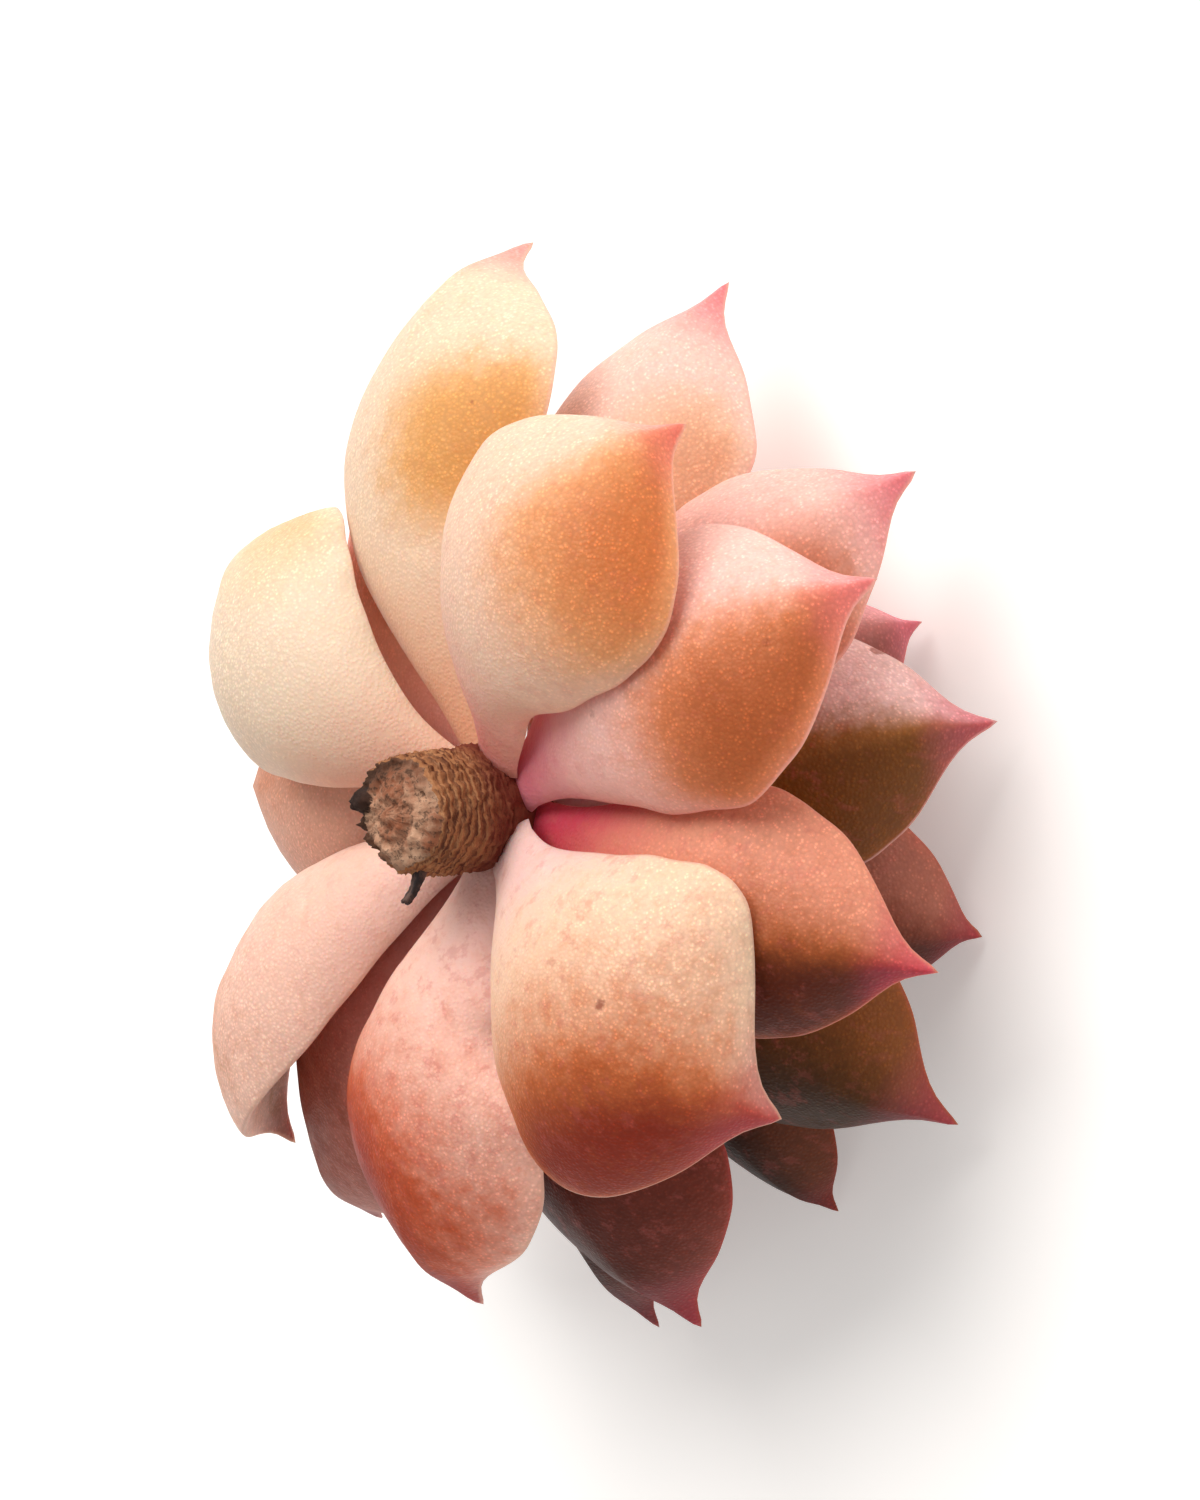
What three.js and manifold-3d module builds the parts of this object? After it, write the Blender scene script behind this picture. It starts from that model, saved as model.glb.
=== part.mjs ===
// A cut echeveria rosette, lying face down with its stem stub up. Millimetres, +Z up.
//
// The plant is drawn in its growing frame, where +Z runs from the stem to the face of the
// rosette and height 0 is where the oldest leaf sits. It is turned over as one group at the
// end and set down on the tips of its younger leaves.

import * as THREE from 'three';
import Module from 'manifold-3d';

const wasm = await Module();
wasm.setup();

// Full-grown leaf
const LEAF_LENGTH = 33;
const LEAF_WIDTH = 19;
const LEAF_THICKNESS = 5.6;
const LEAF_BASE_WIDTH = 4;
const LEAF_BASE_THICKNESS = 1.2;
const ROOT_ROUNDING = 0.25;

// Rosette
const LEAF_COUNT = 36;
const FACE_HEIGHT = 25.5;
const SEAT_RISE = 0.5;
const SEAT_CROWDING = 0.25;
const SPIRAL_START = 13;
const SPIRAL_TURN = 137.5;

// Stem
const STEM_DIAMETER = 8.4;
const STEM_TIP_DIAMETER = 2.2;
const CUT_END_DIAMETER = 6.6;
const STUB_LENGTH = 7.5;
const DRY_ROOT_DIAMETER = 0.7;
const DRY_ROOT_LENGTH = 1.8;

// Clearance between any two pieces
const GAP = 0.3;

// Mesh fineness
const STATIONS = [0, 0.09, 0.18, 0.28, 0.38, 0.49, 0.6, 0.7, 0.79, 0.87, 0.93, 0.975];
const AROUND = 14;
const MIDRIB_STEPS = 200;
const STEM_SIDES = 28;

const radians = THREE.MathUtils.degToRad;
const { lerp, smoothstep } = THREE.MathUtils;

// ---------------------------------------------------------------------------------------
// The leaves that show from outside, oldest first. Each grew its own way, so each has its
// own turn about the stem, share of the full-grown length and width, rise at the base,
// curl towards the face by the tip, roll about its midrib and sideways sweep, in degrees.
// ---------------------------------------------------------------------------------------

const GROWN_LEAVES = [
  [38, 0.84, 1.1, -27, 84, 0, 6],
  [136, 0.82, 1.3, -21, 74, -12, -10],
  [302, 0.96, 1.02, -24, 95, 0, 26],
  [67, 0.87, 1.0, -4, 45, -12, 0],
  [195, 0.94, 1.04, -20, 62, 0, 4],
  [345, 1.15, 1.16, -9, 66, 0, 14],
  [112, 0.88, 0.95, 0, 35, 0, 0],
  [246, 1.14, 0.82, -21, 66, 62, -40],
  [53, 0.93, 0.92, 10, 30, 0, 0],
  [178, 1.0, 1.12, 4, 35, 0, 0],
  [318, 0.97, 0.98, 2, 35, 0, 0],
  [83, 0.84, 0.9, 22, 28, 0, 0],
  [228, 1.2, 1.1, -16, 58, 0, -8],
  [11, 1.0, 1.08, 8, 30, 12, 0],
  [137, 0.92, 0.9, 16, 28, 0, 0],
  [273, 1.16, 0.95, -8, 45, 0, 4],
  [60, 0.75, 0.7, 36, 20, 0, 0],
  [197, 1.16, 0.95, 4, 30, 0, 0],
  [340, 0.91, 0.85, 14, 26, 0, 0],
  [117, 0.81, 0.8, 28, 22, 0, 0],
  [245, 0.94, 0.85, 12, 26, 0, 0],
  [31, 0.62, 0.6, 30, 20, 0, 0],
  [169, 0.95, 0.85, 14, 26, 0, 0],
];

const WHORLS = [
  { name: 'outer_leaf', from: 0 },
  { name: 'second_leaf', from: 8 },
  { name: 'third_leaf', from: 16 },
  { name: 'inner_leaf', from: 23 },
  { name: 'bud_leaf', from: 30 },
];

// Younger leaves follow the spiral, slimmer and steeper towards the bud.
const YOUNG_FROM = GROWN_LEAVES.length;
const YOUNG_WIDTH = [0.68, 0.3];
const YOUNG_THICKNESS = [0.86, 0.48];
const YOUNG_RISE = [44, 76];
const YOUNG_CURL = [22, 18];

// A leaf that would touch an older one grows steeper and slimmer, a step at a time, and
// once it stands upright it only grows slimmer.
const STEEPER_STEP = 0.6;
const STEEPEST_RISE = 89;
const SLIMMER_STEP = 0.975;
const MOST_STEPS = 60;

// ---------------------------------------------------------------------------------------
// Stem: a barrel-shaped stub, and the core that tapers through the rosette to the bud
// ---------------------------------------------------------------------------------------

function seatHeight(n) {
  return SEAT_RISE * n * (1 - (SEAT_CROWDING * n) / LEAF_COUNT);
}

const CORE_TOP = seatHeight(LEAF_COUNT);

function coreRadius(height) {
  return lerp(STEM_DIAMETER, STEM_TIP_DIAMETER, height / CORE_TOP) / 2;
}

function stubRadius(depth) {
  const flare = Math.sqrt(1 - (depth / STUB_LENGTH) ** 3);
  return lerp(CUT_END_DIAMETER, STEM_DIAMETER, flare) / 2;
}

function stemGeometry() {
  const profile = [new THREE.Vector2(0, -STUB_LENGTH)];
  const stubRings = 8;
  for (let i = stubRings; i >= 0; i -= 1) {
    const depth = (STUB_LENGTH * i) / stubRings;
    profile.push(new THREE.Vector2(stubRadius(depth), -depth));
  }
  profile.push(new THREE.Vector2(coreRadius(CORE_TOP), CORE_TOP));
  profile.push(new THREE.Vector2(0, CORE_TOP + STEM_TIP_DIAMETER / 4));
  const geometry = new THREE.LatheGeometry(profile, STEM_SIDES);
  geometry.rotateX(Math.PI / 2);
  return geometry;
}

// A dead root stands out from the stub, a little towards the cut end.
function dryRootGeometry() {
  const depth = STUB_LENGTH * 0.68;
  const lean = radians(46);
  const turn = radians(180);
  const foot = stubRadius(depth) + GAP + (DRY_ROOT_DIAMETER / 2) * Math.sin(lean);
  const geometry = new THREE.CylinderGeometry(
    DRY_ROOT_DIAMETER * 0.42, DRY_ROOT_DIAMETER / 2, DRY_ROOT_LENGTH, 10,
  );
  geometry.translate(0, DRY_ROOT_LENGTH / 2, 0);
  geometry.rotateZ(-Math.PI / 2);
  geometry.rotateY(lean);
  geometry.translate(foot, 0, -depth);
  geometry.rotateZ(turn);
  return geometry;
}

// ---------------------------------------------------------------------------------------
// Leaf: closed rings of points along a bent midrib, from the rounded root to the sharp tip
// ---------------------------------------------------------------------------------------

// Half width along the leaf, as a share of its greatest: a narrow claw, then a broad blade
// that ends in a short point.
function outline(t) {
  const widestAt = 0.62;
  if (t < widestAt) {
    const base = LEAF_BASE_WIDTH / LEAF_WIDTH;
    return lerp(base, 1, Math.sin((Math.PI / 2) * (t / widestAt)) ** 1.6);
  }
  const fromTip = (1 - t) / (1 - widestAt);
  const shoulder = 1 - (1 - fromTip) ** 2;
  const pinch = 1 - 0.36 * Math.exp(-fromTip / 0.2);
  return shoulder * pinch;
}

// Thickness along the leaf, as a share of its greatest.
function fullness(t) {
  const fullFrom = 0.6;
  const base = LEAF_BASE_THICKNESS / LEAF_THICKNESS;
  const swelling = Math.sin((Math.PI / 2) * Math.min(t / fullFrom, 1)) ** 1.5;
  return lerp(base, 1, swelling) * (1 - t ** 4.5) ** 0.75;
}

// The back is deep, round near the root and keeled near the tip. The face is shallow, and
// the edges turn up a little towards it.
function sectionHeight(side, isFace, t, half, thick, spread) {
  const faceShare = 0.26;
  const edgeLift = 0.16;
  const round = (1 - side ** 2.3) ** 0.72;
  const ridged = (1 - side) ** 0.9;
  const keel = 0.7 * smoothstep(t, 0.45, 0.95);
  const back = (1 - faceShare) * thick * lerp(round, ridged, keel) + spread;
  const face = faceShare * thick * round + spread;
  const upturn = edgeLift * half * side * side * Math.min(2 * t, 1);
  return upturn + (isFace ? face : -back);
}

// The midrib starts level with the seat, leaves the stem at the rise and curls to the tip.
function midrib(leaf, length) {
  const frames = [];
  const place = new THREE.Vector3(leaf.start, 0, leaf.seat);
  for (let i = 0; i <= MIDRIB_STEPS; i += 1) {
    const t = i / MIDRIB_STEPS;
    const tilt = radians(leaf.rise + leaf.curl * t ** 1.5);
    const heading = radians(leaf.sweep * t * t);
    const along = new THREE.Vector3(
      Math.cos(tilt) * Math.cos(heading),
      Math.cos(tilt) * Math.sin(heading),
      Math.sin(tilt),
    );
    const side = new THREE.Vector3(-Math.sin(heading), Math.cos(heading), 0);
    side.applyAxisAngle(along, radians(leaf.roll * t));
    frames.push({ place: place.clone(), along, side, up: along.clone().cross(side) });
    place.addScaledVector(along, length / MIDRIB_STEPS);
  }
  return (t) => frames[Math.round(t * MIDRIB_STEPS)];
}

function leafPoints(leaf, spread) {
  const at = midrib(leaf, leaf.length);
  const points = [at(0).place.clone().addScaledVector(at(0).along, -ROOT_ROUNDING)];
  for (const t of STATIONS) {
    const { place, side, up } = at(t);
    const half = (leaf.width / 2) * outline(t) + spread;
    const thick = leaf.thickness * fullness(t);
    for (let j = 0; j < AROUND; j += 1) {
      const angle = (2 * Math.PI * j) / AROUND;
      const across = Math.cos(angle);
      const isFace = j < AROUND / 2;
      const height = sectionHeight(Math.abs(across), isFace, t, half, thick, spread);
      const point = place.clone().addScaledVector(side, half * across);
      points.push(point.addScaledVector(up, height));
    }
  }
  points.push(at(1).place.clone().addScaledVector(at(1).along, spread));
  const turned = new THREE.Matrix4().makeRotationZ(radians(leaf.turn));
  return points.map((point) => point.applyMatrix4(turned));
}

// spread swells the leaf all round, to test its clearance.
function leafGeometry(leaf, spread = 0) {
  const points = leafPoints(leaf, spread);
  const tip = points.length - 1;
  const vertex = (ring, j) => 1 + ring * AROUND + (j % AROUND);
  const lastRing = STATIONS.length - 1;
  const index = [];
  for (let j = 0; j < AROUND; j += 1) {
    index.push(0, vertex(0, j + 1), vertex(0, j));
    for (let ring = 0; ring < lastRing; ring += 1) {
      index.push(vertex(ring, j), vertex(ring + 1, j + 1), vertex(ring + 1, j));
      index.push(vertex(ring, j), vertex(ring, j + 1), vertex(ring + 1, j + 1));
    }
    index.push(vertex(lastRing, j), vertex(lastRing, j + 1), tip);
  }
  const coordinates = points.flatMap((point) => point.toArray());
  const geometry = new THREE.BufferGeometry();
  geometry.setAttribute('position', new THREE.Float32BufferAttribute(coordinates, 3));
  geometry.setIndex(index);
  geometry.computeVertexNormals();
  geometry.computeBoundingBox();
  return geometry;
}

// ---------------------------------------------------------------------------------------
// Growth: leaves are placed one by one, each clear of all the older ones
// ---------------------------------------------------------------------------------------

function toSolid(geometry) {
  return new wasm.Manifold(new wasm.Mesh({
    numProp: 3,
    vertProperties: Float32Array.from(geometry.attributes.position.array),
    triVerts: Uint32Array.from(geometry.index.array),
  }));
}

function touches(geometry, solid, older) {
  if (!geometry.boundingBox.intersectsBox(older.geometry.boundingBox)) return false;
  const common = solid.intersect(older.solid);
  const touching = !common.isEmpty();
  common.delete();
  return touching;
}

function isClear(leaf, olderLeaves) {
  const geometry = leafGeometry(leaf, GAP);
  const solid = toSolid(geometry);
  const clear = !olderLeaves.some((older) => touches(geometry, solid, older));
  solid.delete();
  return clear;
}

// Young leaves all reach the flat face of the rosette, which sets their length.
function lengthToFace(leaf) {
  const unitTip = midrib(leaf, 1)(1).place.z - leaf.seat;
  return (FACE_HEIGHT - leaf.seat) / unitTip;
}

function leafAt(n, steps) {
  const seat = seatHeight(n);
  const start = coreRadius(seat) + GAP + ROOT_ROUNDING;
  const slimmer = SLIMMER_STEP ** steps;
  if (n < YOUNG_FROM) {
    const [turn, length, width, rise, curl, roll, sweep] = GROWN_LEAVES[n];
    return {
      seat,
      start,
      turn,
      length: length * LEAF_LENGTH,
      width: width * LEAF_WIDTH * slimmer,
      thickness: LEAF_THICKNESS * slimmer,
      rise: Math.min(rise + STEEPER_STEP * steps, STEEPEST_RISE),
      curl,
      roll,
      sweep,
    };
  }
  const youth = (n - YOUNG_FROM) / (LEAF_COUNT - 1 - YOUNG_FROM);
  const leaf = {
    seat,
    start,
    turn: SPIRAL_START + SPIRAL_TURN * n,
    width: lerp(...YOUNG_WIDTH, youth) * LEAF_WIDTH * slimmer,
    thickness: lerp(...YOUNG_THICKNESS, youth) * LEAF_THICKNESS * slimmer,
    rise: Math.min(lerp(...YOUNG_RISE, youth) + STEEPER_STEP * steps, STEEPEST_RISE),
    curl: lerp(...YOUNG_CURL, youth),
    roll: 0,
    sweep: 0,
  };
  leaf.length = lengthToFace(leaf);
  return leaf;
}

function leafName(n) {
  const whorl = WHORLS.findLast(({ from }) => n >= from);
  return `${whorl.name}_${n - whorl.from + 1}`;
}

const rosette = new THREE.Group();
const grown = [];
for (let n = 0; n < LEAF_COUNT; n += 1) {
  let steps = 0;
  while (steps < MOST_STEPS && !isClear(leafAt(n, steps), grown)) {
    steps += 1;
  }
  const geometry = leafGeometry(leafAt(n, steps));
  grown.push({ geometry, solid: toSolid(geometry) });
  const skin = new THREE.MeshStandardMaterial({ color: 0xe3aa92, roughness: 0.45, metalness: 0 });
  const leaf = new THREE.Mesh(geometry, skin);
  leaf.name = leafName(n);
  rosette.add(leaf);
}

const bark = new THREE.MeshStandardMaterial({ color: 0x8a5a3a, roughness: 0.9, metalness: 0 });
const stem = new THREE.Mesh(stemGeometry(), bark);
stem.name = 'stem';
rosette.add(stem);

const driedBark = new THREE.MeshStandardMaterial({ color: 0x3a2c28, roughness: 0.9, metalness: 0 });
const dryRoot = new THREE.Mesh(dryRootGeometry(), driedBark);
dryRoot.name = 'dry_root';
rosette.add(dryRoot);

// ---------------------------------------------------------------------------------------
// Turned face down, centred, and set on the ground
// ---------------------------------------------------------------------------------------

rosette.rotation.x = Math.PI;
rosette.updateMatrixWorld(true);
const extent = new THREE.Box3().setFromObject(rosette, true);
const middle = extent.getCenter(new THREE.Vector3());
rosette.position.set(-middle.x, -middle.y, -extent.min.z);

const plant = new THREE.Group();
plant.add(rosette);

export default plant;
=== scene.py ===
import math

import bpy
import numpy as np
from mathutils import Matrix, Vector, noise


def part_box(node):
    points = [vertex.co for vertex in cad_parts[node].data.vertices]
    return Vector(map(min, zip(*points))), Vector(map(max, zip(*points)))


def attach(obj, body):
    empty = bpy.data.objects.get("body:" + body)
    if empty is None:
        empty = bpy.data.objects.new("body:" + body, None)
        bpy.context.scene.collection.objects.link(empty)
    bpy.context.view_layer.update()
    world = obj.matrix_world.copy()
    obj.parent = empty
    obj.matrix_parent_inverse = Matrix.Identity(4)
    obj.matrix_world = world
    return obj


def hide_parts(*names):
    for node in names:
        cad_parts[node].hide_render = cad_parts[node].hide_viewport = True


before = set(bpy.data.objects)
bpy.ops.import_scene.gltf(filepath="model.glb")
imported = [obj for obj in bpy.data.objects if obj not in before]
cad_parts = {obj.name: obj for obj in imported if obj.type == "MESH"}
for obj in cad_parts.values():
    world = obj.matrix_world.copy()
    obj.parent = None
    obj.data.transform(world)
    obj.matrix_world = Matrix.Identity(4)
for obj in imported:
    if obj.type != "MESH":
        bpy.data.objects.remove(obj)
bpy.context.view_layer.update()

# ---------------------------------------------------------------------------------------
# Camera. It looks down on the upturned rosette from the side of the two broad front
# leaves, rolled so that the stem stub points to the left, through a long lens.
# ---------------------------------------------------------------------------------------

STUB_LENGTH = 0.0075
CAMERA_ELEVATION = math.radians(41)
CAMERA_ROLL = math.radians(94)
CAMERA_DISTANCE = 0.33
CAMERA_SHIFT_RIGHT = 0.00824
CAMERA_SHIFT_UP = 0.00379

stem_low, stem_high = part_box("stem")
stem_axis = (stem_low + stem_high) / 2
seat_height = stem_high.z - STUB_LENGTH
heart = Vector((stem_axis.x, stem_axis.y, seat_height))

towards_camera = Vector((0, -math.cos(CAMERA_ELEVATION), math.sin(CAMERA_ELEVATION)))
level_right = Vector((1, 0, 0))
level_up = towards_camera.cross(level_right)
picture_right = math.cos(CAMERA_ROLL) * level_right - math.sin(CAMERA_ROLL) * level_up
picture_up = math.sin(CAMERA_ROLL) * level_right + math.cos(CAMERA_ROLL) * level_up

lens = bpy.data.cameras.new("camera")
lens.lens = 121.2
lens.sensor_width = 36
lens.clip_start = 0.01
lens.clip_end = 20
camera = bpy.data.objects.new("camera", lens)
bpy.context.scene.collection.objects.link(camera)
camera_place = (heart + CAMERA_DISTANCE * towards_camera
                + CAMERA_SHIFT_RIGHT * picture_right + CAMERA_SHIFT_UP * picture_up)
turned = Matrix((picture_right, picture_up, towards_camera)).transposed()
camera.matrix_world = Matrix.Translation(camera_place) @ turned.to_4x4()
bpy.context.scene.camera = camera

# ---------------------------------------------------------------------------------------
# Leaves. Each is one thick fleshy leaf that grew from the stem: a narrow claw, a broad
# blade with a deep, softly keeled back and a flatter face, crisp edges and a drawn-out tip.
# The skin is waxy, with a fine sparkling grain, and blushed; the blush lies on the half of each
# blade turned from the lamp and deepens there into painted shade, so it is partly pigment and
# partly painted shade.
# ---------------------------------------------------------------------------------------

AROUND = 14
HALF_AROUND = AROUND // 2
FINE_ROWS = 58
FINE_HALF = 22
RING_PLACES = (0, 0.09, 0.18, 0.28, 0.38, 0.49, 0.6, 0.7, 0.79, 0.87, 0.93, 0.975)
CRISPNESS = 0.55
ROOT_REACH = 0.0009
ROOT_POINT = 0.0003
KEEL_RISE = 0.00028
EDGE_WAVE = 0.00035
TIP_LIFT = 0.35
SWELL = 0.00016
GROUND_GAP = 0.00005


def spline(knots, values, at):
    """Natural cubic spline through values at knots, read at other places."""
    knots = np.asarray(knots, float)
    values = np.asarray(values, float)
    n = len(knots)
    gap = np.diff(knots)
    system = np.eye(n)
    right = np.zeros_like(values)
    slopes = np.diff(values, axis=0) / gap.reshape(-1, *[1] * (values.ndim - 1))
    for i in range(1, n - 1):
        system[i, i - 1:i + 2] = gap[i - 1], 2 * (gap[i - 1] + gap[i]), gap[i]
        right[i] = 6 * (slopes[i] - slopes[i - 1])
    bend = np.linalg.solve(system, right.reshape(n, -1)).reshape(values.shape)
    i = np.clip(np.searchsorted(knots, at, side="right") - 1, 0, n - 2)
    wide = [1] * (values.ndim - 1)
    h = gap[i].reshape(-1, *wide)
    b = (at - knots[i]).reshape(-1, *wide) / h
    a = 1 - b
    return (a * values[i] + b * values[i + 1]
            + ((a ** 3 - a) * bend[i] + (b ** 3 - b) * bend[i + 1]) * h * h / 6)


def smoothstep(value, low, high):
    share = np.clip((value - low) / (high - low), 0, 1)
    return share * share * (3 - 2 * share)


def leaf_rings(node):
    """The CAD leaf's rings of points from root to tip, and its tip point. Vertices in one
    place are merged, and each ring is found through the faces above the one before."""
    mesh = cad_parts[node].data
    points, kept, merged = [], {}, []
    for vertex in mesh.vertices:
        key = tuple(round(c * 2e5) for c in vertex.co)
        if key not in kept:
            kept[key] = len(points)
            points.append(tuple(vertex.co))
        merged.append(kept[key])
    points = np.array(points)
    third, near = {}, {}
    for polygon in mesh.polygons:
        corners = [merged[i] for i in polygon.vertices]
        for k in range(3):
            first, second = corners[k], corners[(k + 1) % 3]
            third[first, second] = corners[(k + 2) % 3]
            near.setdefault(first, set()).add(second)
    poles = sorted((i for i in near if len(near[i]) == AROUND),
                   key=lambda i: math.hypot(points[i][0] - heart.x, points[i][1] - heart.y))
    root, tip = poles[0], poles[-1]
    start = min(near[root])
    ring = [start]
    while len(ring) < AROUND:
        ring.append(third[ring[-1], root])
    if third[ring[0], ring[1]] == root:
        ring.reverse()
    rings = [ring]
    while tip not in near[rings[-1][0]]:
        last = rings[-1]
        above = [third[last[j], last[(j + 1) % AROUND]] for j in range(AROUND)]
        rings.append([above[j - 1] for j in range(AROUND)])
    return points[np.array(rings)], points[tip]


def in_order(grid):
    """Turns every ring so that it starts on an edge and passes over the face first."""
    middle = grid[len(grid) // 2]
    spans = [np.linalg.norm(middle[j] - middle[j + HALF_AROUND]) for j in range(HALF_AROUND)]
    first = int(np.argmax(spans))
    grid = np.roll(grid, -first, axis=1)
    middle = grid[len(grid) // 2]
    chord = (middle[0] + middle[HALF_AROUND]) / 2
    over = np.linalg.norm(middle[1:HALF_AROUND].mean(0) - chord)
    under = np.linalg.norm(middle[HALF_AROUND + 1:].mean(0) - chord)
    if over > under:
        grid = np.roll(grid, -HALF_AROUND, axis=1)
    return grid


def edge_spaced(count):
    """Places from one edge to the other, closer together near both."""
    return (1 - np.cos(np.pi * np.arange(count) / count)) / 2


def fine_leaf(node, seed, tip_reach, bites):
    """The smooth leaf: its points row by row, and what the skin needs at each of them."""
    grid, tip = leaf_rings(node)
    grid = in_order(grid)
    along = np.linspace(0, 1, FINE_ROWS) ** 0.9
    lines = np.concatenate([grid, np.repeat(tip[None, None], AROUND, 1)])
    rows = spline(np.append(RING_PLACES, 1.0), lines, along)

    over_face = HALF_AROUND * edge_spaced(FINE_HALF)
    around = np.concatenate([over_face, HALF_AROUND + over_face])
    rounds = np.concatenate([rows, rows, rows], axis=1).transpose(1, 0, 2)
    soft = spline(np.arange(-AROUND, 2 * AROUND), rounds, around)
    upper = rows[:, :HALF_AROUND + 1].transpose(1, 0, 2)
    under = np.concatenate([rows[:, HALF_AROUND:], rows[:, :1]], axis=1).transpose(1, 0, 2)
    knots = np.arange(HALF_AROUND + 1)
    crisp = np.concatenate([spline(knots, upper, over_face), spline(knots, under, over_face)])
    points = ((1 - CRISPNESS) * soft + CRISPNESS * crisp).transpose(1, 0, 2)

    centre = (points[:, 0] + points[:, FINE_HALF]) / 2
    side = points[:, 0] - points[:, FINE_HALF]
    half = np.linalg.norm(side, axis=1) / 2
    side = side / np.maximum(2 * half, 1e-6)[:, None]
    side[-1] = side[-2]
    ahead = np.gradient(centre, axis=0)
    ahead /= np.linalg.norm(ahead, axis=1)[:, None]
    outward = -np.cross(ahead, side)
    outward /= np.linalg.norm(outward, axis=1)[:, None]
    deep = points[:, FINE_HALF + FINE_HALF // 2] - centre
    outward *= np.sign((outward * deep).sum(1))[FINE_ROWS // 2]

    offset = points - centre[:, None]
    across = (offset * side[:, None]).sum(2) / np.maximum(half, 1e-5)[:, None]
    across = np.clip(across, -1, 1)
    is_back = np.zeros(2 * FINE_HALF)
    is_back[FINE_HALF:] = 1

    keel = KEEL_RISE * smoothstep(along, 0.45, 0.85) * (1 - smoothstep(along, 0.93, 1.0))
    ridge = keel[:, None] * np.exp(-(across / 0.13) ** 2) * is_back
    points = points + ridge[:, :, None] * outward[:, None]

    wave = np.array([[noise.noise(Vector((3.1 * t, seed, 5.0 * s))) for s in (-1, 1)]
                     for t in 3 * along])
    pull = np.where(across > 0, wave[:, 1:], wave[:, :1]) * np.abs(across) ** 3
    pull = pull * EDGE_WAVE * smoothstep(along, 0.1, 0.4)[:, None]
    for at, spread, depth, on_side in bites:
        bite = np.exp(-((along - at) / spread) ** 2)[:, None] * depth
        weight = np.clip(across * on_side, 0, 1) ** 2
        pull = pull - on_side * bite * weight
    points = points + pull[:, :, None] * side[:, None]

    narrowing = 1 - 0.34 * np.exp(-((along - 0.965) / 0.04) ** 2)
    points = centre[:, None] + (points - centre[:, None]) * narrowing[:, None, None]
    tip_reach = tip_reach * smoothstep(tip[2], 0.0002, 0.004)
    reach = tip_reach * smoothstep(along, 0.88, 1.0) ** 1.6
    lift = TIP_LIFT * reach
    points = points + (reach[:, None] * ahead - lift[:, None] * outward)[:, None]

    swell = np.array([[noise.noise(Vector(p) * 160 + Vector((seed, 0, 0))) for p in row]
                      for row in points])
    from_centre = points - centre[:, None]
    length = np.linalg.norm(from_centre, axis=2, keepdims=True)
    fade = (smoothstep(along, 0.05, 0.3) * (1 - smoothstep(along, 0.85, 1.0)))[:, None, None]
    points = points + from_centre / np.maximum(length, 1e-6) * swell[:, :, None] * SWELL * fade

    inward = points[0].mean(0) - points[3].mean(0)
    inward /= np.linalg.norm(inward)
    sunk = points[0] + inward * ROOT_REACH
    points = np.concatenate([sunk[None], points[:-1]])
    points[:, :, 2] = np.maximum(points[:, :, 2], GROUND_GAP)
    along_rows = np.concatenate([[0], along[:-1]])
    end = tip + tip_reach * ahead[-1] - TIP_LIFT * tip_reach * outward[-1]
    base = sunk.mean(0) + inward * ROOT_POINT
    end[2], base[2] = max(end[2], GROUND_GAP), max(base[2], GROUND_GAP)
    edge = np.minimum(np.linalg.norm(points - points[:, :1], axis=2),
                      np.linalg.norm(points - points[:, FINE_HALF:FINE_HALF + 1], axis=2))
    across = np.concatenate([across[:1], across[:-1]])
    return points, along_rows, across, edge, base, end


def leaf_mesh(node, seed, tip_reach, bites):
    points, along, across, edge, root, tip = fine_leaf(node, seed, tip_reach, bites)
    rows, wide = points.shape[:2]
    vertices = [tuple(root)] + [tuple(p) for p in points.reshape(-1, 3)] + [tuple(tip)]
    last = len(vertices) - 1
    faces = []
    for j in range(wide):
        k = (j + 1) % wide
        faces.append((0, 1 + k, 1 + j))
        for r in range(rows - 1):
            low, high = 1 + r * wide, 1 + (r + 1) * wide
            faces.append((low + j, low + k, high + k, high + j))
        top = 1 + (rows - 1) * wide
        faces.append((top + j, top + k, last))
    mesh = bpy.data.meshes.new(node + "_skin")
    mesh.from_pydata(vertices, [], faces)
    mesh.validate()
    mesh.update()
    if mesh_volume(vertices, faces) < 0:
        mesh.flip_normals()
    mesh.shade_smooth()
    for name, values, at_root, at_tip in (
        ("along", along[:, None] * np.ones((rows, wide)), 0.0, 1.0),
        ("across", across, 0.0, 0.0),
        ("edge", edge * 1000, 2.0, 0.0),
    ):
        spread = np.concatenate([[at_root], values.reshape(-1), [at_tip]]).astype(np.float32)
        mesh.attributes.new(name, "FLOAT", "POINT").data.foreach_set("value", spread)
    return mesh


def mesh_volume(vertices, faces):
    total = 0.0
    for face in faces:
        a = Vector(vertices[face[0]])
        for i in range(1, len(face) - 1):
            total += a.dot(Vector(vertices[face[i]]).cross(Vector(vertices[face[i + 1]])))
    return total / 6


def tint(code):
    """A colour as the shader wants it, from the six-figure code on a paint card."""
    parts = [int(code[i:i + 2], 16) / 255 for i in (0, 2, 4)]
    linear = [c / 12.92 if c <= 0.04045 else ((c + 0.055) / 1.055) ** 2.4 for c in parts]
    return (*linear, 1.0)


class Wire:
    """An output socket. Arithmetic on it adds Math nodes."""

    def __init__(self, paint, socket):
        self.paint, self.socket = paint, socket

    def maths(self, operation, first, second):
        made = self.paint.add("ShaderNodeMath", {"operation": operation}, {0: first, 1: second})
        return made["Value"]

    def __add__(self, other):
        return self.maths("ADD", self, other)

    def __radd__(self, other):
        return self.maths("ADD", other, self)

    def __sub__(self, other):
        return self.maths("SUBTRACT", self, other)

    def __rsub__(self, other):
        return self.maths("SUBTRACT", other, self)

    def __mul__(self, other):
        return self.maths("MULTIPLY", self, other)

    def __rmul__(self, other):
        return self.maths("MULTIPLY", other, self)


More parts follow.
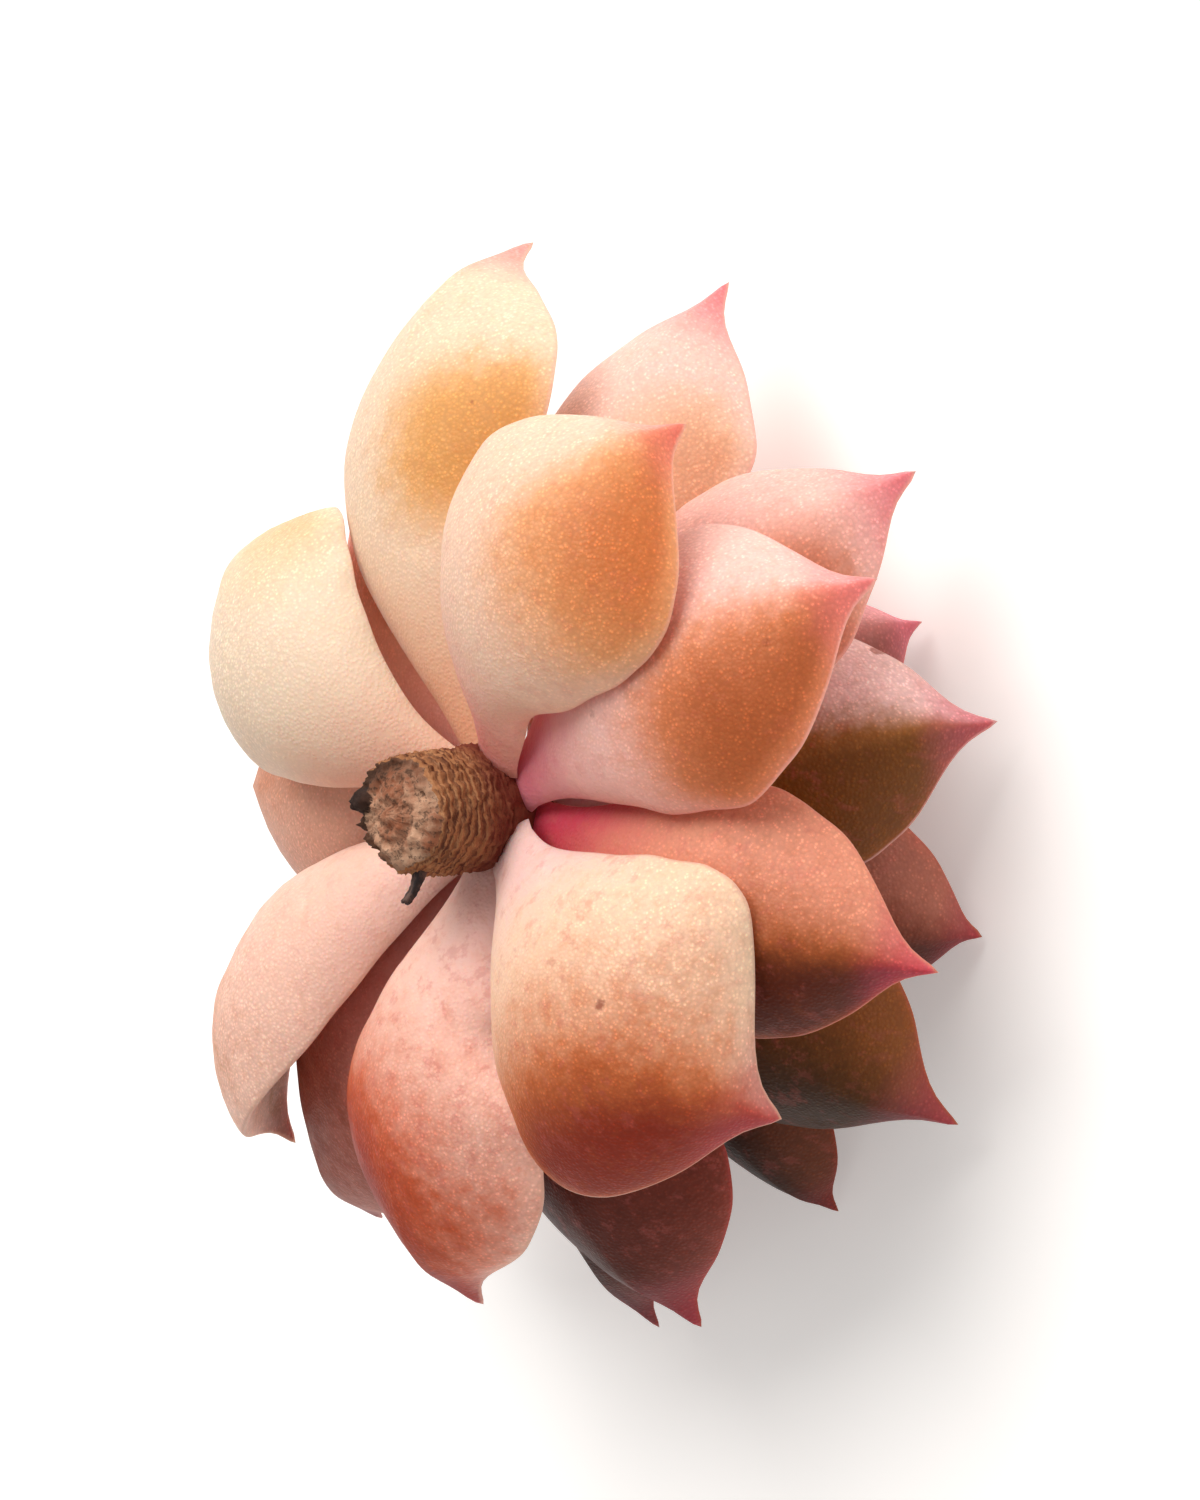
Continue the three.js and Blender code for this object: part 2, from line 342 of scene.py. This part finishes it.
class Paint:
    """A material, built node by node."""

    def __init__(self, name):
        self.material = bpy.data.materials.new(name)
        self.material.use_nodes = True
        self.tree = self.material.node_tree
        self.tree.nodes.clear()

    def add(self, kind, settings=None, sockets=None):
        node = self.tree.nodes.new(kind)
        for key, value in (settings or {}).items():
            setattr(node, key, value)
        for key, value in (sockets or {}).items():
            socket = node.inputs[key]
            if isinstance(value, Wire):
                self.tree.links.new(value.socket, socket)
            else:
                socket.default_value = value
        return {out.name: Wire(self, out) for out in node.outputs if out.enabled}

    def attribute(self, name):
        return self.add("ShaderNodeAttribute", {"attribute_name": name})["Fac"]

    def place(self):
        return self.add("ShaderNodeTexCoord")["Object"]

    def stretched(self, place, scale):
        return self.add("ShaderNodeMapping", None, {"Vector": place, "Scale": scale})["Vector"]

    def noise(self, place, scale, detail=3.0, roughness=0.5):
        return self.add("ShaderNodeTexNoise", None, {
            "Vector": place, "Scale": scale, "Detail": detail, "Roughness": roughness})["Fac"]

    def cells(self, place, scale):
        return self.add("ShaderNodeTexVoronoi", None, {"Vector": place, "Scale": scale})

    def step(self, value, low, high):
        return self.add("ShaderNodeMapRange", {"interpolation_type": "SMOOTHSTEP"}, {
            "Value": value, "From Min": low, "From Max": high})["Result"]

    def mix(self, share, first, second):
        return self.add("ShaderNodeMix", {"data_type": "RGBA"}, {
            "Factor": share, 6: first, 7: second})["Result"]

    def scaled(self, colour, gain):
        return self.add("ShaderNodeVectorMath", {"operation": "SCALE"}, {
            0: colour if isinstance(colour, Wire) else colour[:3], "Scale": gain})["Vector"]

    def bump(self, height, strength, distance, normal=None):
        sockets = {"Height": height, "Strength": strength, "Distance": distance}
        if normal:
            sockets["Normal"] = normal
        return self.add("ShaderNodeBump", None, sockets)["Normal"]

    def finish(self, shader):
        self.add("ShaderNodeOutputMaterial", None, {"Surface": shader["BSDF"]})
        return self.material


def leaf_skin(name, root, body, blush_and_shade, painted_shade, tip, amount, lean, fade):
    """root, body and tip are the leaf's own colours. The third colour is partly the leaf's own
    blushing and partly painted shade, and the fourth is painted shade: the third spreads by
    amount from the half of the blade that lean names, mostly the half turned from the lamp,
    deepens to the fourth at its heart, and is gone past fade along the leaf."""
    paint = Paint(name)
    place = paint.place()
    along, across = paint.attribute("along"), paint.attribute("across")
    edge = paint.attribute("edge")
    cloud = paint.noise(place, 130, 4, 0.55)
    mottle = paint.noise(place, 800, 3, 0.62)
    fleck = paint.noise(place, 2300, 2, 0.6)
    streaks = paint.noise(paint.stretched(place, (1.0, 1.0, 0.4)), 800, 4, 0.7)
    uneven = cloud * 0.55 + mottle * 0.45 - 0.5

    from_root = along + across * 0.1 + uneven * 0.3
    colour = paint.mix(paint.step(from_root, 0.0, 0.4), tint(root), tint(body))
    before_tip = 1 - paint.step(along + uneven * 0.3, fade - 0.3, fade)
    warm = paint.step(along, 0.18, 0.57 * fade) * before_tip
    # The favoured half, which the blush and the painted shade fill, is mostly the half of the
    # blade turned from the lamp.
    half = paint.step(across * lean + uneven * 0.4, -0.95, 0.75)
    centre = paint.step(edge, 0.2, 2.4)
    reach = warm * half * (centre * 0.3 + 0.7) * 1.15 + uneven * 0.36
    # Painted shade: the third colour, then the darker fourth, are laid on the favoured half of
    # the blade, past the claw and short of the tip.
    colour = paint.mix(paint.step(reach, 0.42 - amount, 1.1 - amount) * 0.96, colour, tint(blush_and_shade))
    colour = paint.mix(paint.step(reach, 0.85 - amount, 1.4 - amount) * 0.95, colour, tint(painted_shade))
    flushed = paint.step(along + uneven * 0.1, 0.84, 1.0)
    colour = paint.mix(flushed * 0.85, colour, tint(tip))

    patch = paint.step(mottle, 0.5, 0.7)
    colour = paint.mix(patch * 0.11, colour, tint(blush_and_shade))
    veins = paint.step(streaks, 0.53, 0.66) * (1 - paint.step(along, 0.5, 0.95) * 0.6)
    colour = paint.mix(veins * (0.05 + 0.5 * amount), colour, tint("c4605a"))
    bloom = paint.step(paint.noise(place, 330, 5, 0.75), 0.55, 0.72)
    grain = paint.cells(place, 3800)
    # Pale specks in the grain's cells lift the skin's colour: partly pale grain, partly painted
    # glints of its sparkle; like the dark pores, they show more away from the claw.
    glint_speck = (1 - paint.step(grain["Distance"], 0.12, 0.5)) * paint.step(fleck, 0.42, 0.62)
    pore = paint.step(grain["Distance"], 0.5, 0.85)
    out_from_claw = paint.step(along, 0.15, 0.6)
    colour = paint.scaled(colour, 1 + (glint_speck * 0.4 - pore * 0.1) * out_from_claw + bloom * 0.1)
    rim = (1 - paint.step(edge + mottle * 0.1, 0.12, 0.42)) * paint.step(along, 0.1, 0.4)
    colour = paint.mix(rim * 0.65, colour, paint.mix(0.6, tint(tip), tint(body)))
    marks = paint.cells(paint.stretched(place, (1.0, 1.15, 0.85)), 160)
    pick = paint.step(paint.noise(place, 75, 1), 0.52, 0.56)
    scab = (1 - paint.step(marks["Distance"] + fleck * 0.08, 0.1, 0.14)) * pick
    colour = paint.mix(scab * 0.7, colour, tint("8c3a26"))

    dimple = paint.step(grain["Distance"], 0.0, 0.75)
    normal = paint.bump(1 - dimple, 0.3, 0.0001)
    normal = paint.bump(cloud, 0.1, 0.0004, normal)
    shader = paint.add("ShaderNodeBsdfPrincipled", None, {
        "Base Color": colour,
        "Roughness": 0.42 + mottle * 0.2 + bloom * 0.12,
        "Normal": normal,
        "Subsurface Weight": 0.3,
        "Subsurface Radius": (1.0, 0.32, 0.16),
        "Subsurface Scale": 0.003,
        "Specular IOR Level": 0.24,
    })
    return paint.finish(shader)


# The dark brown and maroon colours of second_leaf_2, second_leaf_7, third_leaf_2, third_leaf_4
# and third_leaf_7 are partly the leaves' own and partly painted shade, and the crimson root
# colour of outer_leaf_7 is partly painted shadow of the leaf over it.
# node: root, body, blush that is partly painted shade, painted shade, tip, blush amount, favoured
# half (mostly the one turned from the lamp), fade, tip reach
SHOWN_LEAVES = {
    "outer_leaf_1": ("e8948a", "f4cab0", "e69c64", "ca6e36", "e87068", 0.2, 1, 1.3, 0.0010),
    "outer_leaf_2": ("f6c8c0", "f8ceb0", "cc6a30", "8a2008", "a8283c", 0.42, 0.75, 1.4, 0.0012),
    "outer_leaf_3": ("eaae94", "f0d6bc", "ecc8a0", "e0a870", "eaa898", 0.0, 1, 1.3, 0.0004),
    "outer_leaf_4": ("dc7484", "f8c2b6", "d88050", "b0582a", "f07c80", 0.18, 1, 1.2, 0.0012),
    "outer_leaf_5": ("f6c8be", "f8ccba", "cc5624", "901a04", "901420", 0.52, 0.4, 1.4, 0.0020),
    "outer_leaf_6": ("eaa884", "f0cfb2", "e0a260", "ce8a40", "f08e8c", 0.06, 1, 0.84, 0.0018),
    "outer_leaf_7": ("cc4458", "e09478", "b05a28", "541600", "bc3452", 0.42, 0.9, 1.4, 0.0012),
    "outer_leaf_8": ("f4c4b6", "f4c4b0", "c87840", "944010", "7c2812", 0.16, 0.2, 1.4, 0.0014),
    "second_leaf_1": ("e8a098", "eeb8ac", "d08466", "a85842", "e06878", 0.2, 1, 1.0, 0.0012),
    "second_leaf_2": ("984440", "8e3a2a", "6a2410", "421002", "9c2c3c", 0.46, 0.3, 1.2, 0.0018),
    "second_leaf_3": ("f0a696", "efa890", "e6866c", "d07050", "e5786e", 0.2, 1, 1.2, 0.0010),
    "second_leaf_4": ("f0c0ba", "f4c8c2", "a0601a", "74400a", "c05868", 0.42, 1.5, 1.2, 0.0014),
    "second_leaf_5": ("d09088", "c88074", "94422a", "5c2016", "701c26", 0.3, 0.2, 1.2, 0.0016),
    "second_leaf_6": ("efb0a0", "eec4b6", "e4b090", "cc8258", "ea6a78", 0.0, 1, 0.95, 0.0016),
    "second_leaf_7": ("844222", "8c4c18", "603406", "3a1c00", "a03c4a", 0.4, 1, 1.2, 0.0016),
    "second_leaf_8": ("e6ac98", "dca48c", "cc8462", "b06844", "c87060", 0.2, 1, 1.2, 0.0012),
    "third_leaf_1": ("e29c98", "e2a0a0", "bc7870", "94544a", "e07486", 0.3, 1, 1.2, 0.0014),
    "third_leaf_2": ("702c22", "6a2c1e", "481a10", "30100a", "701e28", 0.46, 1, 1.2, 0.0016),
    "third_leaf_3": ("efb09e", "f0baaa", "e2a486", "cc8868", "e87c84", 0.2, 1, 1.2, 0.0012),
    "third_leaf_4": ("b46c58", "b46c58", "84422e", "562418", "9c3040", 0.4, 1, 1.2, 0.0014),
    "third_leaf_5": ("dca090", "d29480", "b46c48", "8c482c", "b85250", 0.3, 1, 1.2, 0.0014),
    "third_leaf_6": ("e6a498", "e8b0a0", "d49074", "b8705a", "e47c84", 0.24, 1, 1.2, 0.0012),
    "third_leaf_7": ("70341c", "6c3010", "441c04", "2a1000", "7c2c2c", 0.46, 1, 1.2, 0.0016),
}
YOUNG_LEAF = ("eabf9e", "eec6aa", "de9468", "c67848", "de6c7c", 0.24, 1, 1.2, 0.0010)
# node: place along the leaf, spread, depth (a bulge where negative) and edge of each bite
EDGE_BITES = {
    "outer_leaf_1": ((0.2, 0.07, 0.0012, 1), (0.12, 0.06, 0.0006, -1)),
    "outer_leaf_4": ((0.13, 0.07, -0.0007, -1),),
    "outer_leaf_5": ((0.33, 0.05, 0.0018, -1), (0.47, 0.06, -0.0009, -1)),
}

leaf_names = sorted(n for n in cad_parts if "leaf" in n)
for number, node in enumerate(leaf_names):
    *colours, amount, lean, fade, tip_reach = SHOWN_LEAVES.get(node, YOUNG_LEAF)
    bites = EDGE_BITES.get(node, ())
    leaf = bpy.data.objects.new(node + "_skin", leaf_mesh(node, 7.3 * number, tip_reach, bites))
    bpy.context.scene.collection.objects.link(leaf)
    leaf.data.materials.append(leaf_skin(node + "_skin", *colours, amount, lean, fade))
    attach(leaf, "root")
    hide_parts(node)

# ---------------------------------------------------------------------------------------
# Stem. A corky stub of dry bark, built up of close ragged leaf-scar rings like wasp paper,
# with a torn dark rim round its pale broken end. Its core tapers on through the rosette.
# ---------------------------------------------------------------------------------------

STEM_SPOKES = 168
STUB_ROWS = 120
END_ROWS = 26
STEM_RADIUS = 0.0042
CUT_END_RADIUS = 0.0033
STEM_TIP_RADIUS = 0.0011
RING_PITCH = 0.0006
RING_HEIGHT = 0.0002
BARK_SHARE = 0.8
CORE_STEPS = 8
RIM_TURN = math.radians(62)
RIM_CRUMBLE = 0.00055
END_SHARE = 0.985
KNOB_TURN = math.radians(70)
KNOB_PLACE = 0.0029
KNOB_RISE = 0.0011


def stub_radius(depth):
    flare = math.sqrt(max(0.0, 1 - (depth / STUB_LENGTH) ** 3))
    return CUT_END_RADIUS + (STEM_RADIUS - CUT_END_RADIUS) * flare


def stem_point(turn, depth):
    """A point of the bark, with its share of the way up the ring that it is on."""
    cosine, sine = math.cos(turn), math.sin(turn)
    wander = noise.noise(Vector((1.8 * cosine, 1.8 * sine, depth * 330))) * 0.0006
    wander += noise.noise(Vector((6 * cosine, 6 * sine, depth * 900))) * 0.00016
    tilt = 0.0002 * math.cos(turn - 0.8) + 0.00012 * math.sin(3 * turn)
    phase = (depth + wander + tilt) / RING_PITCH
    share = phase - math.floor(phase)
    number = math.floor(phase)
    height = RING_HEIGHT * (0.5 + 1.3 * noise.noise(Vector((2 * cosine, 2 * sine, number * 3.7))))
    lip = share ** 2.2 * (1 - smoothstep(share, 0.86, 1.0))
    fray = noise.fractal(Vector((9 * cosine, 9 * sine, depth * 1100)), 0.6, 2.1, 4)
    lump = noise.noise(Vector((1.3 * cosine, 1.3 * sine, depth * 260 + 5)))
    radius = stub_radius(depth) - 0.0001 + height * lip + 0.0002 * fray + 0.0004 * lump
    return radius, share


def raggedness(turn):
    """How torn the rim is, from 0 on its sound side to 1 at its worst."""
    return 0.5 + 0.5 * math.cos(turn - RIM_TURN)


def crumbled(turn):
    """How far the broken rim stands up or has crumbled away."""
    around = Vector((4 * math.cos(turn), 4 * math.sin(turn), 9))
    return RIM_CRUMBLE * raggedness(turn) * noise.fractal(around, 0.5, 2.2, 4)


def stem_mesh():
    vertices, share_at, depth_at, ragged_at = [], [], [], []
    turns = [2 * math.pi * k / STEM_SPOKES for k in range(STEM_SPOKES)]
    axis_x, axis_y = stem_axis.x, stem_axis.y
    end_height = seat_height + END_SHARE * STUB_LENGTH

    def ring(point_at):
        for turn in turns:
            radius, height, share, depth = point_at(turn)
            x, y = axis_x + radius * math.cos(turn), axis_y + radius * math.sin(turn)
            vertices.append((x, y, height))
            share_at.append(share)
            depth_at.append(depth)
            ragged_at.append(raggedness(turn))

    core_low = stem_low.z + 0.0005
    for k in range(CORE_STEPS + 1):
        rise = k / CORE_STEPS
        height = core_low + (seat_height - core_low) * rise
        radius = STEM_TIP_RADIUS + (STEM_RADIUS - STEM_TIP_RADIUS) * rise
        ring(lambda turn, r=radius, h=height: (r, h, 0.5, 0.0))
    for k in range(1, STUB_ROWS + 1):
        depth = STUB_LENGTH * BARK_SHARE * k / STUB_ROWS

        def bark_point(turn, depth=depth):
            radius, share = stem_point(turn, depth)
            top = smoothstep(depth, 0.65 * STUB_LENGTH, BARK_SHARE * STUB_LENGTH)
            height = seat_height + depth + top * crumbled(turn)
            return radius, height, share, depth / STUB_LENGTH
        ring(bark_point)
    for k in range(1, END_ROWS):
        inner = 1 - k / END_ROWS

        def broken_end(turn, inner=inner):
            rim_radius, _ = stem_point(turn, BARK_SHARE * STUB_LENGTH)
            radius = rim_radius * inner
            x, y = radius * math.cos(turn), radius * math.sin(turn)
            rough = noise.fractal(Vector((x * 900, y * 900, 4)), 0.55, 2.1, 5)
            step_in = smoothstep(inner, 0.72, 0.93)
            lip = step_in * (raggedness(turn) * 0.0003 - 0.0001 + crumbled(turn))
            dome = -(END_SHARE - BARK_SHARE) * STUB_LENGTH * inner ** 2.6
            ripple = 0.00012 * math.sin(22 * inner + 2.5 * noise.noise(Vector((x, y, 0)) * 500))
            at_knob = math.hypot(x - KNOB_PLACE * math.cos(KNOB_TURN),
                                 (y - KNOB_PLACE * math.sin(KNOB_TURN)) * 0.75)
            knob = KNOB_RISE * (1 - smoothstep(at_knob, 0.0004, 0.001))
            height = end_height + dome + lip + ripple + 0.00034 * rough + knob
            return radius, height, inner, 1.0 + (0.5 if knob > 0.0001 else 0.0)
        ring(broken_end)
    rows = len(vertices) // STEM_SPOKES
    vertices.append((axis_x, axis_y, stem_low.z))
    vertices.append((axis_x, axis_y, end_height))
    share_at += [0.5, 0.0]
    depth_at += [0.0, 1.0]
    ragged_at += [0.0, 0.5]
    bottom, top = len(vertices) - 2, len(vertices) - 1
    faces = []
    for k in range(STEM_SPOKES):
        n = (k + 1) % STEM_SPOKES
        faces.append((bottom, n, k))
        for r in range(rows - 1):
            low, high = r * STEM_SPOKES, (r + 1) * STEM_SPOKES
            faces.append((low + k, low + n, high + n, high + k))
        last = (rows - 1) * STEM_SPOKES
        faces.append((last + k, last + n, top))
    mesh = bpy.data.meshes.new("stem_bark")
    mesh.from_pydata(vertices, [], faces)
    mesh.update()
    if mesh_volume(vertices, faces) < 0:
        mesh.flip_normals()
    mesh.shade_smooth()
    for name, values in (("ring", share_at), ("depth", depth_at), ("ragged", ragged_at)):
        mesh.attributes.new(name, "FLOAT", "POINT").data.foreach_set("value", values)
    return mesh


def bark():
    paint = Paint("cork_bark")
    place = paint.place()
    ring, depth = paint.attribute("ring"), paint.attribute("depth")
    ragged = paint.attribute("ragged")
    fibre = paint.noise(paint.stretched(place, (1.0, 1.0, 5.0)), 700, 5, 0.7)
    cloud = paint.noise(place, 330, 4, 0.6)
    crumb = paint.noise(place, 2600, 4, 0.7)
    colour = paint.mix(paint.step(ring * 0.6 + cloud * 1.2 - 0.4, 0.1, 0.8),
                       tint("54291a"), tint("a87048"))
    colour = paint.mix(paint.step(fibre, 0.45, 0.7) * 0.55, colour, tint("c8946a"))
    colour = paint.mix(paint.step(crumb, 0.54, 0.7) * 0.55, colour, tint("30150d"))
    # Painted shade: the bark darkens to deep maroon next to the leaves, where they overhang the
    # stub.
    shade_near_leaves = 1 - paint.step(depth + cloud * 0.3, 0.2, 0.62)
    colour = paint.mix(shade_near_leaves * 0.85, colour, tint("6a2016"))
    end = paint.step(depth, 0.985, 0.999)
    pith = paint.mix(paint.step(cloud + crumb * 0.4, 0.52, 0.95), tint("94583c"), tint("e0b494"))
    pith = paint.mix(paint.step(crumb, 0.5, 0.62) * 0.7, pith, tint("3a2015"))
    rim = paint.step(ring + crumb * 0.5 + ragged * 0.3 - 0.45, 0.5, 0.9) * (ragged * 0.8 + 0.15)
    pith = paint.mix(rim, pith, tint("3c2518"))
    colour = paint.mix(end, colour, pith)
    knob = paint.step(depth, 1.1, 1.4)
    colour = paint.mix(knob * 0.9, colour, tint("2a1812"))
    normal = paint.bump(fibre + crumb * 0.5, 0.7, 0.0002)
    shader = paint.add("ShaderNodeBsdfPrincipled", None, {
        "Base Color": colour,
        "Roughness": 0.72 + crumb * 0.22,
        "Normal": normal,
        "Specular IOR Level": 0.3,
    })
    return paint.finish(shader)


stem = bpy.data.objects.new("stem_bark", stem_mesh())
bpy.context.scene.collection.objects.link(stem)
stem.data.materials.append(bark())
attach(stem, "root")
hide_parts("stem")

# ---------------------------------------------------------------------------------------
# Dead root. A short dry aerial root, snapped off, that grew out of the bark near the cut
# end. It is wrinkled and bent a little, with a flat torn end.
# ---------------------------------------------------------------------------------------

ROOT_SPOKES = 24
ROOT_ROWS = 30
ROOT_RADIUS = 0.00034
ROOT_BEND = 0.00022

root_low, root_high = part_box("dry_root")


def root_mesh():
    middle_y = (root_low.y + root_high.y) / 2
    foot = Vector((root_high.x + 0.0006, middle_y, root_low.z + 0.00005))
    end = Vector((root_low.x + 0.0003, middle_y, root_high.z - 0.0003))
    run = end - foot
    forward = run.normalized()
    first = forward.cross(Vector((0, 1, 0))).normalized()
    second = forward.cross(first)
    vertices, faces = [], []
    for r in range(ROOT_ROWS + 1):
        share = r / ROOT_ROWS
        middle = foot + run * share + first * ROOT_BEND * math.sin(math.pi * share)
        for k in range(ROOT_SPOKES):
            turn = 2 * math.pi * k / ROOT_SPOKES
            spot = Vector((math.cos(turn) * 1.5, math.sin(turn) * 1.5, share * 7))
            wrinkle = noise.fractal(spot, 0.6, 2.0, 4)
            grooves = 0.09 * math.cos(5 * turn + 2 * share)
            flare = 0.55 * (1 - smoothstep(share, 0.0, 0.45))
            radius = ROOT_RADIUS * (1 + flare + 0.16 * wrinkle + grooves - 0.12 * share)
            torn = forward * (0.00012 * wrinkle if r == ROOT_ROWS else 0)
            spoke = first * math.cos(turn) + second * math.sin(turn)
            vertices.append(tuple(middle + spoke * radius + torn))
    for r in range(ROOT_ROWS):
        for k in range(ROOT_SPOKES):
            n = (k + 1) % ROOT_SPOKES
            low, high = r * ROOT_SPOKES, (r + 1) * ROOT_SPOKES
            faces.append((low + k, low + n, high + n, high + k))
    vertices.append(tuple(foot))
    vertices.append(tuple(end - forward * 0.0001))
    last = ROOT_ROWS * ROOT_SPOKES
    for k in range(ROOT_SPOKES):
        n = (k + 1) % ROOT_SPOKES
        faces.append((len(vertices) - 2, n, k))
        faces.append((len(vertices) - 1, last + k, last + n))
    mesh = bpy.data.meshes.new("dry_root_skin")
    mesh.from_pydata(vertices, [], faces)
    mesh.update()
    if mesh_volume(vertices, faces) < 0:
        mesh.flip_normals()
    mesh.shade_smooth()
    return mesh


def dry_skin():
    paint = Paint("dead_root")
    place = paint.place()
    fibre = paint.noise(paint.stretched(place, (0.4, 1.0, 0.4)), 3200, 4, 0.65)
    colour = paint.mix(paint.step(fibre, 0.35, 0.7), tint("241a1a"), tint("6b5148"))
    shader = paint.add("ShaderNodeBsdfPrincipled", None, {
        "Base Color": colour,
        "Roughness": 0.75 + fibre * 0.2,
        "Normal": paint.bump(fibre, 0.6, 0.0001),
    })
    return paint.finish(shader)


dry_root = bpy.data.objects.new("dry_root_skin", root_mesh())
bpy.context.scene.collection.objects.link(dry_root)
dry_root.data.materials.append(dry_skin())
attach(dry_root, "root")
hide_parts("dry_root")

# ---------------------------------------------------------------------------------------
# Studio. A wide pale floor that glows a little like a light table, one soft far lamp
# over the outer leaves, and a pale room.
# ---------------------------------------------------------------------------------------

FLOOR_REACH = 4.0

floor_mesh = bpy.data.meshes.new("floor")
floor_mesh.from_pydata(
    [(x * FLOOR_REACH, y * FLOOR_REACH, 0) for x, y in ((-1, -1), (1, -1), (1, 1), (-1, 1))],
    [], [(0, 1, 2, 3)])
floor = bpy.data.objects.new("floor", floor_mesh)
bpy.context.scene.collection.objects.link(floor)
floor_paint = Paint("floor")
floor_shader = floor_paint.add("ShaderNodeBsdfPrincipled", None, {
    "Base Color": tint("f6f4f2"),
    "Roughness": 0.9,
    "Specular IOR Level": 0.1,
    "Emission Color": (1.0, 0.98, 0.96, 1),
    "Emission Strength": 0.3,
})
floor.data.materials.append(floor_paint.finish(floor_shader))

lamp = bpy.data.lights.new("key", "SUN")
lamp.angle = math.radians(50)
lamp.energy = 2.75
lamp.color = (1.0, 0.985, 0.96)
lamp_holder = bpy.data.objects.new("key", lamp)
bpy.context.scene.collection.objects.link(lamp_holder)
from_above = picture_up - 0.75 * picture_right + 0.75 * towards_camera
lamp_holder.rotation_mode = "QUATERNION"
lamp_holder.rotation_quaternion = (-from_above).to_track_quat("-Z", "Y")

room = bpy.data.worlds.new("room")
room.use_nodes = True
backdrop = room.node_tree.nodes["Background"]
backdrop.inputs["Color"].default_value = (1.0, 0.985, 0.97, 1)
backdrop.inputs["Strength"].default_value = 0.45
bpy.context.scene.world = room
bpy.context.scene.view_settings.view_transform = "Standard"
